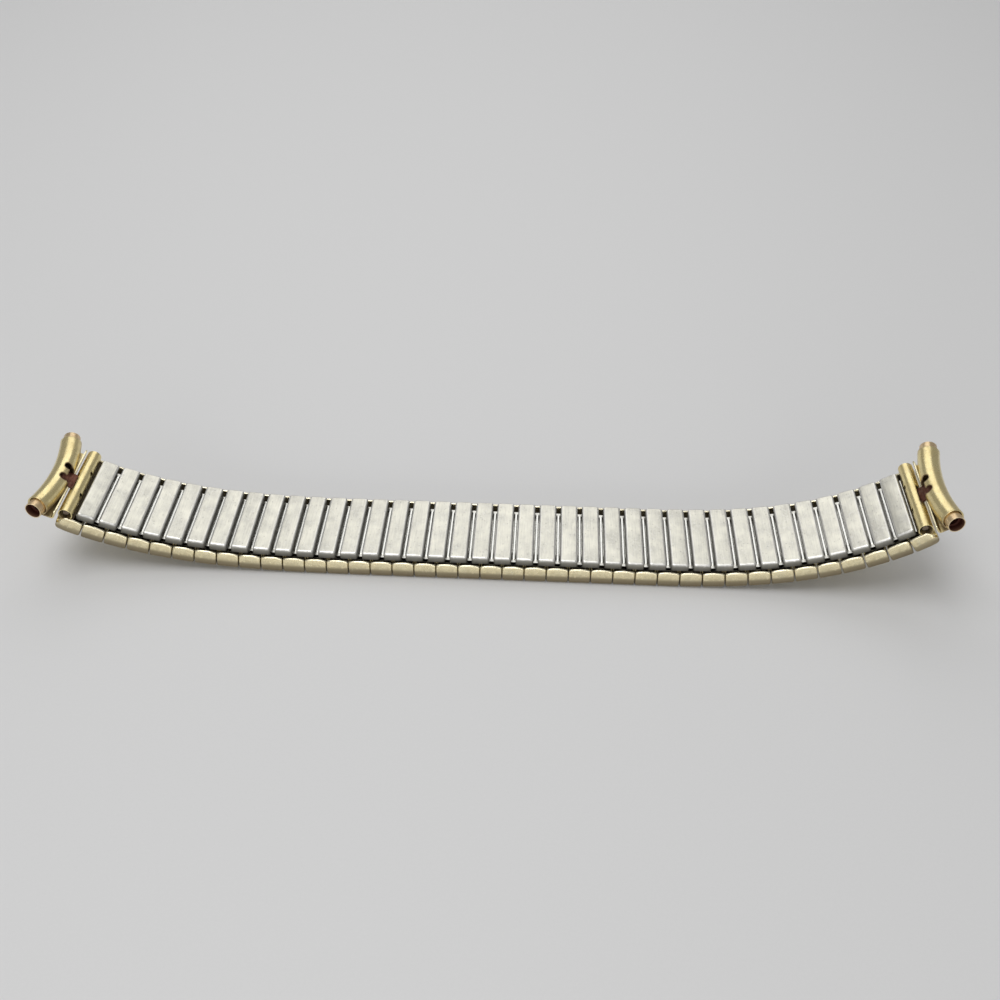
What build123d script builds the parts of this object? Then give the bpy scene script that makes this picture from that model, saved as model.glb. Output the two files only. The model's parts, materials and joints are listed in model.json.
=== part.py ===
from build123d import *
import math
import os

# Expansion watch band, millimetres, decorative side down.
# Local frame of every link: X along the band, Y across it, Z up to the wrist side.
# Local zero height is halfway between the row of back links and the row of top shells.

# Counts
segment_count = 13
tops_per_segment = 3
top_count = segment_count * tops_per_segment
middle_segment = segment_count // 2

# Rows
pitch = 3.5
row_gap = 0.08
fit_gap = 0.02

# Back links
link_gap = 0.75
link_width = 13.2
link_height = 1.3
link_corner = 0.25
link_edge = 0.18
sleeve_wall = 0.16
link_end_wall = 0.2

# Top sleeves
top_inset = 0.75
top_height = 1.5
ridge_width = 0.35
ridge_height = 0.12
ridge_inset = 0.6
half_sleeve_width = 1.35

# Gold shells
cap_seam = 0.12
cap_side_wall = 0.2
cap_end_wall = 0.3
cap_overhang = 1.14
cap_depth = 2.45
cap_rim_rise = 0.27
cap_rim_arch = 0.28
cap_floor = 0.28
cap_seat = 0.35
cap_round = 0.5
cap_end_round = 0.45

# Leaf springs
leaf_thick = 0.1
leaf_side_gap = 0.15
leaf_end_gap = 0.6
top_leaf_bow = 0.25
back_leaf_bow = 0.2

# Side clips
clip_thick = 0.2
clip_web = 0.25
clip_gap = 0.03
clip_leg = 4.2
clip_near_side = 0.6
clip_far_side = 1.12
slide_leg_start = -0.15
slide_leg_end = 0.35
hinge_leg_start = 0.48
hinge_leg_end = 0.93

# Hinge bar on each end shell
bar_radius = 1.1
bar_bore = 0.8
bar_out = 1.25
bar_up = 0.7
bar_inset = 0.54
bar_gap = 0.1
pin_radius = 0.45
pin_recess = 0.5
notch_width = 0.5
notch_offset = 2.6
notch_depth = 0.45
end_shell_reach = 2.2
end_shell_round = 1.1
end_shell_plate = 0.3
end_shell_wall = 0.35

# Tongue between bar and curved end
tongue_width = 3.0
tongue_thick = 0.3
tongue_slot_gap = 0.3
eye_bore = 0.5
eye_radius = 0.72
tongue_seat_gap = 0.02

# Curved end
tube_radius = 1.65
tube_wall = 0.2
tube_inset = 0.04
tube_bend = 30.0
tube_out = 4.4
tube_up = 1.1
lip_out = 2.8
lip_high = 0.95
lip_thick = 0.25
lip_sheet_rise = 0.06
lip_round = 0.45
lobe_radius = 0.75
lobe_offset = 1.3
lobe_back = 0.35
notch_side_gap = 0.25
notch_low = 0.45

# Liner sleeves
liner_play = 0.13
liner_collar_wall = 0.47
liner_mouth_wall = 0.18
liner_inner_length = 2.8
liner_outer_length = 1.25

# Swing of a curved end, degrees
swing_down_angle = 15.0
swing_up_angle = 30.0

# Resting curve of the band: flat middle, both ends lifted
flat_left = 20.6
flat_right = 24.2
left_lift_angle = 28.0
right_lift_angle = 40.0
left_curl_power = 2.0
right_curl_power = 1.7
steps_per_pitch = 4

# Room past a face for a cut
overrun = 0.5

# Worked-out sizes
half_pitch = pitch / 2
half_band = top_count * pitch / 2
link_length = pitch - link_gap
link_half = link_length / 2
back_low = row_gap / 2
back_high = back_low + link_height
back_cavity_half = link_half - sleeve_wall
back_cavity_end = link_width / 2 - link_end_wall
top_high = -row_gap / 2
top_low = top_high - top_height
top_half_width = link_width / 2 - top_inset
rim_high = top_high + cap_rim_rise
cap_half = (pitch - cap_seam) / 2
cap_half_width = link_width / 2 + cap_overhang
cap_inner_end = cap_half_width - cap_end_wall
cap_low = top_high - cap_depth
top_half = cap_half - cap_side_wall - fit_gap
top_cavity_half = top_half - sleeve_wall
leaf_length = 2 * (top_half_width - leaf_end_gap)
bar_length = 2 * (cap_half_width - bar_inset)
pin_length = bar_length - 2 * pin_recess
tube_length = 2 * (cap_half_width - tube_inset)
tube_bore = tube_radius - tube_wall
liner_radius = tube_bore - liner_play
liner_bore = liner_radius - liner_collar_wall
liner_mouth = liner_radius - liner_mouth_wall
sheet_low = tube_up - tube_radius + lip_sheet_rise
tube_centre_out = tube_out + tube_bend
tube_half_angle = math.degrees(math.asin(tube_length / 2 / tube_bend))


def slope_at(s):
    # Slope of the band in degrees at s pitches from the middle
    along = abs(s) * pitch
    if s < 0:
        share = max(0.0, along - flat_left) / (half_band - flat_left)
        return -left_lift_angle * share ** left_curl_power
    share = max(0.0, along - flat_right) / (half_band - flat_right)
    return right_lift_angle * share ** right_curl_power


def middle_line(s):
    # Point of the curve between the rows, summed in quarter pitches from the middle
    side = 1 if s > 0 else -1
    step = side * pitch / steps_per_pitch
    x = 0.0
    z = 0.0
    for i in range(round(abs(s) * steps_per_pitch)):
        angle = math.radians(slope_at(side * (i + 0.5) / steps_per_pitch))
        x += step * math.cos(angle)
        z += step * math.sin(angle)
    return x, z


def place_at(s, side=1):
    # Frame on the curve, with local X turned outward on the left half if side is -1
    x, z = middle_line(s)
    turn = Location((x, 0, z), (0, -slope_at(s), 0))
    return turn if side > 0 else turn * Location((0, 0, 0), (0, 0, 180))


def block(x0, x1, y0, y1, z0, z1):
    # Box between two corners
    size = Box(x1 - x0, y1 - y0, z1 - z0)
    return Pos((x0 + x1) / 2, (y0 + y1) / 2, (z0 + z1) / 2) * size


def rod(radius, length, x, z):
    # Cylinder along Y through x, z
    return Pos(x, 0, z) * Rot(90, 0, 0) * Cylinder(radius, length)


def make_back_sleeve():
    # Folded box with closed ends, open underneath beside each end wall for the clips
    body = block(-link_half, link_half, -link_width / 2, link_width / 2, back_low, back_high)
    body = fillet(body.edges().filter_by(Axis.Z), link_corner)
    body = chamfer(body.faces().sort_by(Axis.Z)[-1].edges(), link_edge)
    body -= block(-back_cavity_half, back_cavity_half, -back_cavity_end, back_cavity_end,
                  back_low + sleeve_wall, back_high - sleeve_wall)
    for y0, y1 in ((-back_cavity_end, -top_half_width), (top_half_width, back_cavity_end)):
        body -= block(-back_cavity_half, back_cavity_half, y0, y1,
                      back_low - overrun, back_low + 2 * sleeve_wall)
    return body


def make_top_sleeve():
    # Box tube open at both ends, with a raised rib that shows between two back links
    body = block(-top_half, top_half, -top_half_width, top_half_width, top_low, top_high)
    body -= block(-top_cavity_half, top_cavity_half, -top_half_width - overrun, top_half_width + overrun,
                  top_low + sleeve_wall, top_high - sleeve_wall)
    rib_end = top_half_width - ridge_inset
    body += block(-ridge_width / 2, ridge_width / 2, -rib_end, rib_end, top_high, top_high + ridge_height)
    return body


def make_half_sleeve():
    # Sleeve of an end shell, on its inner side only, because the bar takes the rest
    x1 = half_sleeve_width - top_half
    body = block(-top_half, x1, -top_half_width, top_half_width, top_low, top_high)
    body -= block(-top_cavity_half, x1 - sleeve_wall, -top_half_width - overrun, top_half_width + overrun,
                  top_low + sleeve_wall, top_high - sleeve_wall)
    return body


def make_leaf(x0, x1, seat, bow):
    # Bowed strip whose ends lie at height seat, bowed up or down by the sign of bow
    skin = math.copysign(leaf_thick, bow)
    half = leaf_length / 2
    under = ThreePointArc((-half, seat), (0, seat + bow), (half, seat))
    right = Line((half, seat), (half, seat + skin))
    over = ThreePointArc((half, seat + skin), (0, seat + bow + skin), (-half, seat + skin))
    left = Line((-half, seat + skin), (-half, seat))
    face = Plane.YZ * make_face([under, right, over, left])
    strip = extrude(face, amount=(x1 - x0) / 2, both=True)
    return Pos((x0 + x1) / 2, 0, 0) * strip


top_leaf_seat = top_low + sleeve_wall + fit_gap
back_leaf_seat = back_high - sleeve_wall - fit_gap
top_leg_low = top_leaf_seat + leaf_thick + top_leaf_bow + clip_gap
back_leg_high = back_leaf_seat - leaf_thick - back_leaf_bow - clip_gap


def make_clip(leg_start, leg_end, side):
    # U of flat strip: one leg in the top sleeve, one in the back sleeve, a web outside both.
    # Local X runs from the top link at minus a quarter pitch to the back link at plus a quarter.
    top_x0 = leg_start - half_pitch / 2
    top_x1 = leg_end - half_pitch / 2
    back_x0 = half_pitch / 2 - clip_far_side
    back_x1 = half_pitch / 2 - clip_near_side
    y0 = (top_half_width + back_cavity_end - clip_web) / 2
    outline = Polyline(
        (top_x0, top_leg_low), (top_x1, top_leg_low), (top_x1, top_leg_low + clip_thick),
        (back_x1, back_low), (back_x1, back_leg_high), (back_x0, back_leg_high),
        (back_x0, back_low), (top_x0, top_leg_low + clip_thick), close=True)
    web = extrude(Plane.XZ * make_face(outline), amount=-clip_web)
    clip = Pos(0, y0, 0) * web
    leg_tip = y0 - clip_leg
    clip += block(top_x0, top_x1, leg_tip, y0, top_leg_low, top_leg_low + clip_thick)
    clip += block(back_x0, back_x1, leg_tip, y0, back_leg_high - clip_thick, back_leg_high)
    return clip if side > 0 else clip.mirror(Plane.XZ)


def make_shell_blank(x1, outer_round):
    # Bar of the shell's full height, its top arched over one pitch, its lower edges rounded
    arch_low = rim_high - cap_rim_arch
    arch = ThreePointArc((-cap_half, arch_low), (0, rim_high), (cap_half, arch_low))
    corners = [(x1, arch_low), (x1, cap_low), (-cap_half, cap_low), (-cap_half, arch_low)]
    if x1 > cap_half:
        corners.insert(0, (cap_half, arch_low))
    body = extrude(Plane.XZ * make_face([arch, Polyline(*corners)]), amount=cap_half_width, both=True)
    lower = body.edges().filter_by(Axis.Y).group_by(Axis.Z)[0].sort_by(Axis.X)
    body = fillet(lower[0], cap_round)
    lower = body.edges().filter_by(Axis.Y).group_by(Axis.Z)[0].sort_by(Axis.X)
    body = fillet(lower[-1], outer_round)
    ends = body.faces().filter_by(Axis.Y).edges()
    return fillet(ends.filter_by(lambda edge: edge.center().Z < arch_low - fit_gap), cap_end_round)


def make_cap():
    # Pressed shell: floor, low long sides notched where the clips pass when the band is stretched,
    # end walls that rise past the ends of the back links
    body = make_shell_blank(cap_half, cap_round)
    body -= block(-cap_half - overrun, cap_half + overrun, -cap_inner_end, cap_inner_end,
                  top_high, rim_high + overrun)
    channel = top_half + fit_gap
    body -= block(-channel, channel, -cap_inner_end, cap_inner_end, top_low - fit_gap, rim_high)
    hollow_end = cap_inner_end - cap_seat
    body -= block(cap_seat - channel, channel - cap_seat, -hollow_end, hollow_end,
                  cap_low + cap_floor, top_low)
    for y0, y1 in ((-cap_inner_end, -top_half_width), (top_half_width, cap_inner_end)):
        body -= block(-cap_half - overrun, cap_half + overrun, y0, y1,
                      top_leg_low + clip_thick, rim_high + overrun)
    return body


def make_end_cover():
    # End shell with the hinge bar on its outer half
    body = make_shell_blank(end_shell_reach, end_shell_round)
    body -= block(-cap_half - overrun, end_shell_reach + overrun, -cap_inner_end, cap_inner_end,
                  top_high, rim_high + overrun)
    channel = top_half + fit_gap
    sleeve_end = half_sleeve_width - top_half + fit_gap
    body -= block(-channel, sleeve_end, -cap_inner_end, cap_inner_end, top_low - fit_gap, rim_high)
    hollow_end = end_shell_reach - end_shell_wall
    hollow_low = cap_low + end_shell_wall
    body -= block(cap_seat - channel, hollow_end - end_shell_round / 2, -top_half_width, top_half_width,
                  hollow_low, top_low)
    body -= block(sleeve_end - overrun, hollow_end, -top_half_width, top_half_width,
                  top_low - fit_gap, top_high - end_shell_plate)
    bar = rod(bar_radius, bar_length, bar_out, bar_up)
    body += bar
    body -= rod(bar_bore, bar_length + overrun, bar_out, bar_up)
    return body - make_tongue_slot() - make_bar_notches()


def make_tongue_slot():
    # Room for the tongue to swing between its two limits
    half = tongue_width / 2 + tongue_slot_gap
    slot = None
    aim = math.degrees(math.atan2(tube_up - bar_up, tube_out - bar_out))
    for swing in (-swing_down_angle, 0, swing_up_angle):
        reach = block(0, lip_out, -half, half,
                      -tongue_thick / 2 - bar_gap, tongue_thick / 2 + bar_gap)
        turned = Pos(bar_out, 0, bar_up) * Rot(0, -(aim + swing), 0) * reach
        slot = turned if slot is None else slot + turned
    middle = (swing_up_angle - swing_down_angle) / 2
    wedge = Pos(bar_out, 0, bar_up) * Rot(0, -(aim + middle), 0) * block(
        bar_bore * math.cos(math.radians(swing_up_angle)), bar_radius + bar_gap, -half, half,
        -bar_bore / 2, bar_bore / 2)
    return slot + wedge


def make_bar_notches():
    # Two small windows in the inner side of the bar
    cuts = Part()
    for y in (-notch_offset, notch_offset):
        cuts += block(bar_out - bar_radius - overrun, bar_out - bar_radius + notch_depth,
                      y - notch_width / 2, y + notch_width / 2, bar_up, bar_up + bar_radius)
    return cuts


def make_pin():
    return rod(pin_radius, pin_length, bar_out, bar_up)


def make_tongue():
    # Strap rolled into an eye round the pin, its other end fixed inside the curved tube
    half = tongue_width / 2
    eye = rod(eye_radius, tongue_width, bar_out, bar_up)
    aim = math.degrees(math.atan2(tube_up - bar_up, tube_out - bar_out))
    reach = math.hypot(tube_up - bar_up, tube_out - bar_out) + tube_bore - tongue_seat_gap
    strap = block(eye_bore, reach, -half, half, -tongue_thick / 2, tongue_thick / 2)
    strap = Pos(bar_out, 0, bar_up) * Rot(0, -aim, 0) * strap
    return eye + strap - rod(eye_bore, tongue_width + overrun, bar_out, bar_up)


def tube_bend_of(radius, half_angle):
    # Round bar bent about an upright axis outside the band
    section = Plane.XZ * Pos(tube_out, tube_up) * Circle(radius)
    axis = Axis((tube_centre_out, 0, 0), (0, 0, 1))
    bent = revolve(section, axis, 2 * half_angle)
    return bent.rotate(axis, -half_angle)


def make_lip_sheet():
    # Sheet under the tube, turned up along a straight edge next to the bar
    half = tube_length / 2
    outer = block(lip_out, tube_out + tube_radius, -half, half, sheet_low, lip_high)
    outer = fillet(outer.edges().filter_by(Axis.Y).group_by(Axis.Z)[0].sort_by(Axis.X)[0], lip_round)
    inner = block(lip_out + lip_thick, tube_out + tube_radius, -half, half,
                  sheet_low + lip_thick, lip_high + overrun)
    inner = fillet(inner.edges().filter_by(Axis.Y).group_by(Axis.Z)[0].sort_by(Axis.X)[0],
                   lip_round - lip_thick)
    inside_bend = Pos(tube_centre_out, 0, tube_up) * Cylinder(tube_bend, 2 * tube_radius + overrun)
    return outer - inner - inside_bend


def make_lobed_cut():
    # Two round lobes joined by a straight notch
    notch_half = tongue_width / 2 + notch_side_gap
    cut = block(tube_out - tube_radius - overrun, tube_out - lobe_back - lobe_radius / 2,
                -notch_half, notch_half, notch_low, tube_up + 2 * tube_radius)
    for y in (-lobe_offset, lobe_offset):
        cut += Pos(tube_out - lobe_back, y, tube_up + tube_radius) * Cylinder(lobe_radius, 2 * tube_radius)
    return cut


def make_curved_end():
    # Curved tube on its lipped sheet, notched for the tongue
    body = tube_bend_of(tube_radius, tube_half_angle) + make_lip_sheet()
    return body - tube_bend_of(tube_bore, 2 * tube_half_angle) - make_lobed_cut()


def liner_frame(side):
    # Frame of a liner: origin on the tube's line at the middle of the stretch inside, X outward
    angle = tube_half_angle - math.degrees(liner_inner_length / 2 / tube_bend)
    turn = math.radians(angle)
    x = tube_centre_out - tube_bend * math.cos(turn)
    y = side * tube_bend * math.sin(turn)
    return Location((x, y, tube_up), (0, 0, side * (90 - angle)))


def make_liner(side):
    # Straight sleeve that slides in the mouth of the tube: a bore for a spring bar, a wider mouth
    length = liner_inner_length + liner_outer_length
    ring = Pos(0, 0, liner_outer_length / 2) * Cylinder(liner_radius, length)
    ring -= Pos(0, 0, liner_outer_length / 2) * Cylinder(liner_bore, length + overrun)
    ring -= Pos(0, 0, liner_inner_length / 2 + liner_outer_length) * Cylinder(liner_mouth, 2 * liner_outer_length)
    return liner_frame(side) * Rot(0, 90, 0) * ring


# Shapes that repeat
back_sleeve = make_back_sleeve()
top_sleeve = make_top_sleeve()
half_sleeve = make_half_sleeve()
cap = make_cap()
end_cover = make_end_cover()
back_leaf = make_leaf(-back_cavity_half + leaf_side_gap, back_cavity_half - leaf_side_gap,
                      back_leaf_seat, -back_leaf_bow)
top_leaf = make_leaf(-top_cavity_half + leaf_side_gap, top_cavity_half - leaf_side_gap,
                     top_leaf_seat, top_leaf_bow)
half_leaf = make_leaf(-top_cavity_half + leaf_side_gap,
                      half_sleeve_width - top_half - sleeve_wall - leaf_side_gap,
                      top_leaf_seat, top_leaf_bow)
clips = {}
for side in (-1, 1):
    clips["fixed", side] = make_clip(clip_near_side, clip_far_side, side)
    clips["slide", side] = make_clip(slide_leg_start, slide_leg_end, side)
    clips["hinge", side] = make_clip(hinge_leg_start, hinge_leg_end, side)

nodes = {}


def add(node, solid, s, side=1):
    nodes.setdefault(node, []).append(solid.moved(place_at(s, side)))


def add_clips(node, kind, top_s, back_s):
    # The two clips that join a top sleeve to a back sleeve half a pitch away
    side = 1 if back_s > top_s else -1
    for across in (-1, 1):
        add(node, clips[kind, across], (top_s + back_s) / 2, side)


def add_back_link(sleeve_node, leaf_node, s):
    add(sleeve_node, back_sleeve, s)
    add(leaf_node, back_leaf, s)


last_top = (top_count - 1) // 2
for k in range(segment_count):
    centre = (k - middle_segment) * tops_per_segment
    number = f"{k + 1:02d}"
    cap_node = "top_shells_" + number
    if k == middle_segment:
        top_node = "top_sleeves_" + number
        back_node = "back_links_" + number
        leaf_node = "leaf_springs_" + number
        clip_node = "side_clips_" + number
    else:
        top_node = back_node = leaf_node = clip_node = "steel_links_" + number
    for i in range(tops_per_segment):
        s = centre + i - tops_per_segment // 2
        side = 1 if s > 0 else -1
        if abs(s) < last_top:
            add(cap_node, cap, s)
            add(top_node, top_sleeve, s)
            add(leaf_node, top_leaf, s)
        else:
            add("end_cover_left" if s < 0 else "end_cover_right", end_cover, s, side)
            add(top_node, half_sleeve, s, side)
            add(leaf_node, half_leaf, s, side)
        if i:
            add_back_link(back_node, leaf_node, s - 0.5)
            add_clips(clip_node, "fixed", s - 1, s - 0.5)
            add_clips(clip_node, "fixed", s, s - 0.5)

for k in range(segment_count - 1):
    s = (k - middle_segment + 0.5) * tops_per_segment
    node = f"bridge_link_{k + 1:02d}"
    inward = -0.5 if s > 0 else 0.5
    add_back_link(node, node, s)
    add_clips(node, "slide", s + inward, s)
    add_clips(node, "hinge", s - inward, s)

for name, side in (("left", -1), ("right", 1)):
    s = side * last_top
    add("hinge_pin_" + name, make_pin(), s, side)
    add("hinge_tongue_" + name, make_tongue(), s, side)
    add("curved_end_" + name, make_curved_end(), s, side)
    for place, across in (("near", -1), ("far", 1)):
        add("liner_sleeve_" + name + "_" + place, make_liner(side * across), s, side)

# Origin under the middle of the band's length, on the surface it lies on
end_boxes = [nodes[node][0].bounding_box() for node in
             ("liner_sleeve_left_near", "curved_end_left", "liner_sleeve_right_near", "curved_end_right")]
middle = (min(box.min.X for box in end_boxes) + max(box.max.X for box in end_boxes)) / 2
origin = Location((-middle, 0, -cap_low))

os.makedirs("parts", exist_ok=True)
for node, solids in nodes.items():
    group = Compound(children=[solid.moved(origin) for solid in solids])
    export_step(group, f"parts/{node}.step")
print("nodes", len(nodes), "origin at", origin.position)
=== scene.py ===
import json
import math

import bpy
import numpy as np
from mathutils import Matrix, Vector

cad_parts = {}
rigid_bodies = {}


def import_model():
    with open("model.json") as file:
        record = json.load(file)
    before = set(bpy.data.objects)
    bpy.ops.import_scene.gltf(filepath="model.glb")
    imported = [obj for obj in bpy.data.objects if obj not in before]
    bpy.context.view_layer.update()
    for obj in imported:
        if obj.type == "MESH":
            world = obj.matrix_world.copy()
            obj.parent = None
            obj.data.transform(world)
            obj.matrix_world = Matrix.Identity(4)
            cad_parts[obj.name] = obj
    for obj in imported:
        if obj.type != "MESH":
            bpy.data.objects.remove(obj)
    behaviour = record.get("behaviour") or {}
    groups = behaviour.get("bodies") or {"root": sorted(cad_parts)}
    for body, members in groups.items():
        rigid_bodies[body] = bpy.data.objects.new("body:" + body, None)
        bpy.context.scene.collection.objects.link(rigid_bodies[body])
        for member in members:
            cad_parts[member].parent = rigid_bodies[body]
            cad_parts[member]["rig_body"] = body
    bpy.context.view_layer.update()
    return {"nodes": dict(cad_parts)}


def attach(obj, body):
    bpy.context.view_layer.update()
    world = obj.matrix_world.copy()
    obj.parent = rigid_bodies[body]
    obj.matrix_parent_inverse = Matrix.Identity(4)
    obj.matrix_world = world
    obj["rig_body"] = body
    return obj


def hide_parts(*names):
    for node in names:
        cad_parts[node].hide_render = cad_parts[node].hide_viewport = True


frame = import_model()
print("frame loaded,", len(frame["nodes"]), "nodes")

scene = bpy.context.scene
scene.view_settings.view_transform = "Standard"
metre = 0.001            # every length below is in millimetres

# Resting curve of the band, the same as in the CAD model
bandLine = {
    "pitch": 3.5,
    "segments": 13,
    "topsPerSegment": 3,
    "flat": {-1: 20.6, 1: 24.2},
    "lift": {-1: 28.0, 1: 40.0},
    "power": {-1: 2.0, 1: 1.7},
    "stepsPerPitch": 4,
    "origin": (0.901234, 0.0, 2.49),
}
halfBand = bandLine["segments"] * bandLine["topsPerSegment"] * bandLine["pitch"] / 2


def slopeAt(s):
    # Slope in radians at s pitches from the middle: zero in the flat part, then a power of the share past it
    side = 1 if s > 0 else -1
    flat = bandLine["flat"][side]
    share = max(0.0, abs(s) * bandLine["pitch"] - flat) / (halfBand - flat)
    return math.radians(side * bandLine["lift"][side] * share ** bandLine["power"][side])


def setDown(points, s, side=1):
    # Local points in mm to metres in the band's frame, s pitches from the middle and turned by the slope
    # there, with half a turn about the upright axis first if side is -1
    ahead = 1 if s > 0 else -1
    step = ahead * bandLine["pitch"] / bandLine["stepsPerPitch"]
    x = z = 0.0
    for i in range(round(abs(s) * bandLine["stepsPerPitch"])):
        angle = slopeAt(ahead * (i + 0.5) / bandLine["stepsPerPitch"])
        x += step * math.cos(angle)
        z += step * math.sin(angle)
    c, n = math.cos(slopeAt(s)), math.sin(slopeAt(s))
    turn = np.array([[side * c, 0.0, -n], [0.0, side, 0.0], [side * n, 0.0, c]])
    return (points @ turn.T + np.array([x, 0.0, z]) + np.array(bandLine["origin"])) * metre


# Mesh helpers: a form is a dictionary of points, faces with four corners, two of which may be one point, and
# one value per point for wear, which also paints a highlight on the sleeve ribs, and one for darkening, which
# is partly patina beside the tube notches and otherwise painted shade in hollows, underneath, in gaps and on
# lower walls
mergeDigits = 4          # points that agree to 0.0001 mm are one


def gridFaces(rows, columns, closeRows=False, closeColumns=False):
    # Quads joining every grid point to the next in its row and to the same two in the next row
    a, b = np.meshgrid(np.arange(rows if closeRows else rows - 1),
                       np.arange(columns if closeColumns else columns - 1), indexing="ij")
    a2, b2 = (a + 1) % rows, (b + 1) % columns
    corners = [a * columns + b, a2 * columns + b, a2 * columns + b2, a * columns + b2]
    return np.stack(corners, -1).reshape(-1, 4)


def lidFaces(first, count):
    # Strip of quads across a closed row of an even count, joining each point to its mirror partner
    i = np.arange(count // 2 - 1)
    return np.stack([first + i, first + i + 1, first + count - 2 - i, first + count - 1 - i], -1)


def differing(faces):
    # True for each corner that isn't the same point as the next one of its face
    return faces != np.roll(faces, -1, axis=1)


def outward(points, faces, rub=0.0, tarnish=0.0):
    # Closed form: points that round to the same place merged, faces that fall flat dropped, and all of them
    # turned over if the volume, a sixth of the sum of a . (b x c + c x d) over the faces, is below zero
    rounded = np.round(points, mergeDigits) + 0.0
    _, first, merged = np.unique(rounded, axis=0, return_index=True, return_inverse=True)
    points, faces = points[first], merged.reshape(-1)[faces]
    faces = faces[differing(faces).sum(1) > 2]
    a, b, c, d = (points[faces[:, i]] for i in range(4))
    volume = np.sum(a * (np.cross(b, c) + np.cross(c, d))) / 6
    return {"points": points, "faces": faces if volume > 0 else faces[:, ::-1],
            "rub": np.broadcast_to(rub, len(rounded))[first],
            "tarnish": np.broadcast_to(tarnish, len(rounded))[first]}


def gridForm(grid, rub=0.0, tarnish=0.0, closeRows=False):
    # Closed form from a grid of points whose rows are rings
    faces = gridFaces(grid.shape[0], grid.shape[1], closeRows, True)
    return outward(grid.reshape(-1, 3), faces, rub, tarnish)


def joined(forms):
    # Several forms as one, each with its own points and faces
    starts = np.cumsum([0] + [len(f["points"]) for f in forms[:-1]])
    values = {key: np.concatenate([f[key] for f in forms]) for key in ("points", "rub", "tarnish")}
    return {"faces": np.concatenate([f["faces"] + start for f, start in zip(forms, starts)]), **values}


def placed(form, s, side=1):
    return {**form, "points": setDown(form["points"], s, side)}


def makePiece(name, forms, material, body, nodes, sharp=38):
    # One object from placed forms, riding on a body and standing for its CAD nodes
    form = joined(forms)
    mesh = bpy.data.meshes.new(name)
    corners = differing(form["faces"])
    sizes = corners.sum(1)
    mesh.vertices.add(len(form["points"]))
    mesh.vertices.foreach_set("co", form["points"].astype(np.float32).reshape(-1))
    mesh.loops.add(int(sizes.sum()))
    mesh.loops.foreach_set("vertex_index", form["faces"][corners].astype(np.int32))
    mesh.polygons.add(len(sizes))
    mesh.polygons.foreach_set("loop_start", (np.cumsum(sizes) - sizes).astype(np.int32))
    mesh.update(calc_edges=True)
    for key in ("rub", "tarnish"):
        values = mesh.attributes.new(key, "FLOAT", "POINT").data
        values.foreach_set("value", form[key].astype(np.float32))
    mesh.polygons.foreach_set("use_smooth", np.ones(len(mesh.polygons), bool))
    mesh.set_sharp_from_angle(angle=math.radians(sharp))
    mesh.materials.append(material)
    piece = bpy.data.objects.new(name, mesh)
    scene.collection.objects.link(piece)
    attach(piece, body)
    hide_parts(*nodes)
    return piece


def loopRow(halfX, halfY, corner, height, rub=0.0, tarnish=0.0, shift=0.0):
    # One row of a form made of loops; the height may be a function of x and kind, the shift is along x
    return halfX, halfY, corner, height, rub, tarnish, shift


def closedLoops(rows, stations, endShares, cornerSteps, dropFrom):
    # Rounded-rectangle loops one above another. A quarter of a loop runs from the middle of an end over the
    # corner to the middle of a long side: point = share of the straight + radius * unit turn. The other three
    # quarters mirror it. Kind is 2 on the ends, 1 on the long sides past dropFrom and 0 on the rest of them
    turn = np.linspace(np.pi / 2, 0, cornerSteps + 1)
    ends, sides = np.array(endShares), np.array(sorted(stations, reverse=True))
    straightX = np.concatenate([ends, np.ones(len(turn) + len(sides))])
    turnX = np.concatenate([ends * 0, np.cos(turn), sides * 0 + 1])
    turnY = np.concatenate([ends * 0 + 1, np.sin(turn), sides * 0])
    reachY = np.concatenate([np.full(len(ends) + len(turn), np.inf), sides])
    kind = np.concatenate([np.full(len(ends) + len(turn) - 1, 2), [1], np.where(sides > dropFrom, 1, 0)])
    count = len(straightX)
    half = np.concatenate([np.arange(count), np.arange(count)[::-1]])
    pick = np.concatenate([half, half[::-1]])
    signX = np.repeat([1, -1], 2 * count)
    signY = np.repeat([1, -1, -1, 1], count)
    loops = []
    for halfX, halfY, corner, height, _, _, shift in rows:
        x = (straightX * (halfX - corner) + turnX * corner)[pick] * signX + shift
        y = (np.minimum(reachY, halfY - corner) + turnY * corner)[pick] * signY
        z = height(x, kind[pick]) if callable(height) else np.full(len(x), float(height))
        loops.append(np.stack([x, y, z], -1))
    return np.array(loops)


def loopForm(rows, stations=(0.0,), endShares=(0.0,), cornerSteps=2, dropFrom=np.inf):
    # Closed form from loops; the first and the last row have shrunk to a line
    grid = closedLoops(rows, stations, endShares, cornerSteps, dropFrom)
    return gridForm(grid, *(np.repeat([row[i] for row in rows], grid.shape[1]) for i in (4, 5)))


def slab(x0, x1, y0, y1, z0, z1, edge=0.02):
    # Box with small bevels and slightly rounder corners
    h, w = (x1 - x0) / 2, (y1 - y0) / 2
    line, corner = min(h, w), edge * 1.5
    outline = [(line, 0, z0), (edge, edge, z0), (0, corner, z0 + edge),
               (0, corner, z1 - edge), (edge, edge, z1), (line, 0, z1)]
    form = loopForm([loopRow(h - inset, w - inset, r, z) for inset, r, z in outline])
    form["points"] = form["points"] + np.array([(x0 + x1) / 2, (y0 + y1) / 2, 0.0])
    return form


def prism(outline, y0, y1):
    # Flat outline in x and z carried along y, with lids that join its first point to its last and so on
    flat = np.array(outline, float)
    n = len(flat)
    points = np.concatenate([np.insert(flat, 1, y, axis=1) for y in (y0, y1)])
    faces = [gridFaces(2, n, closeColumns=True), lidFaces(0, n), lidFaces(n, n)[:, ::-1]]
    return outward(points, np.concatenate(faces))


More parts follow.
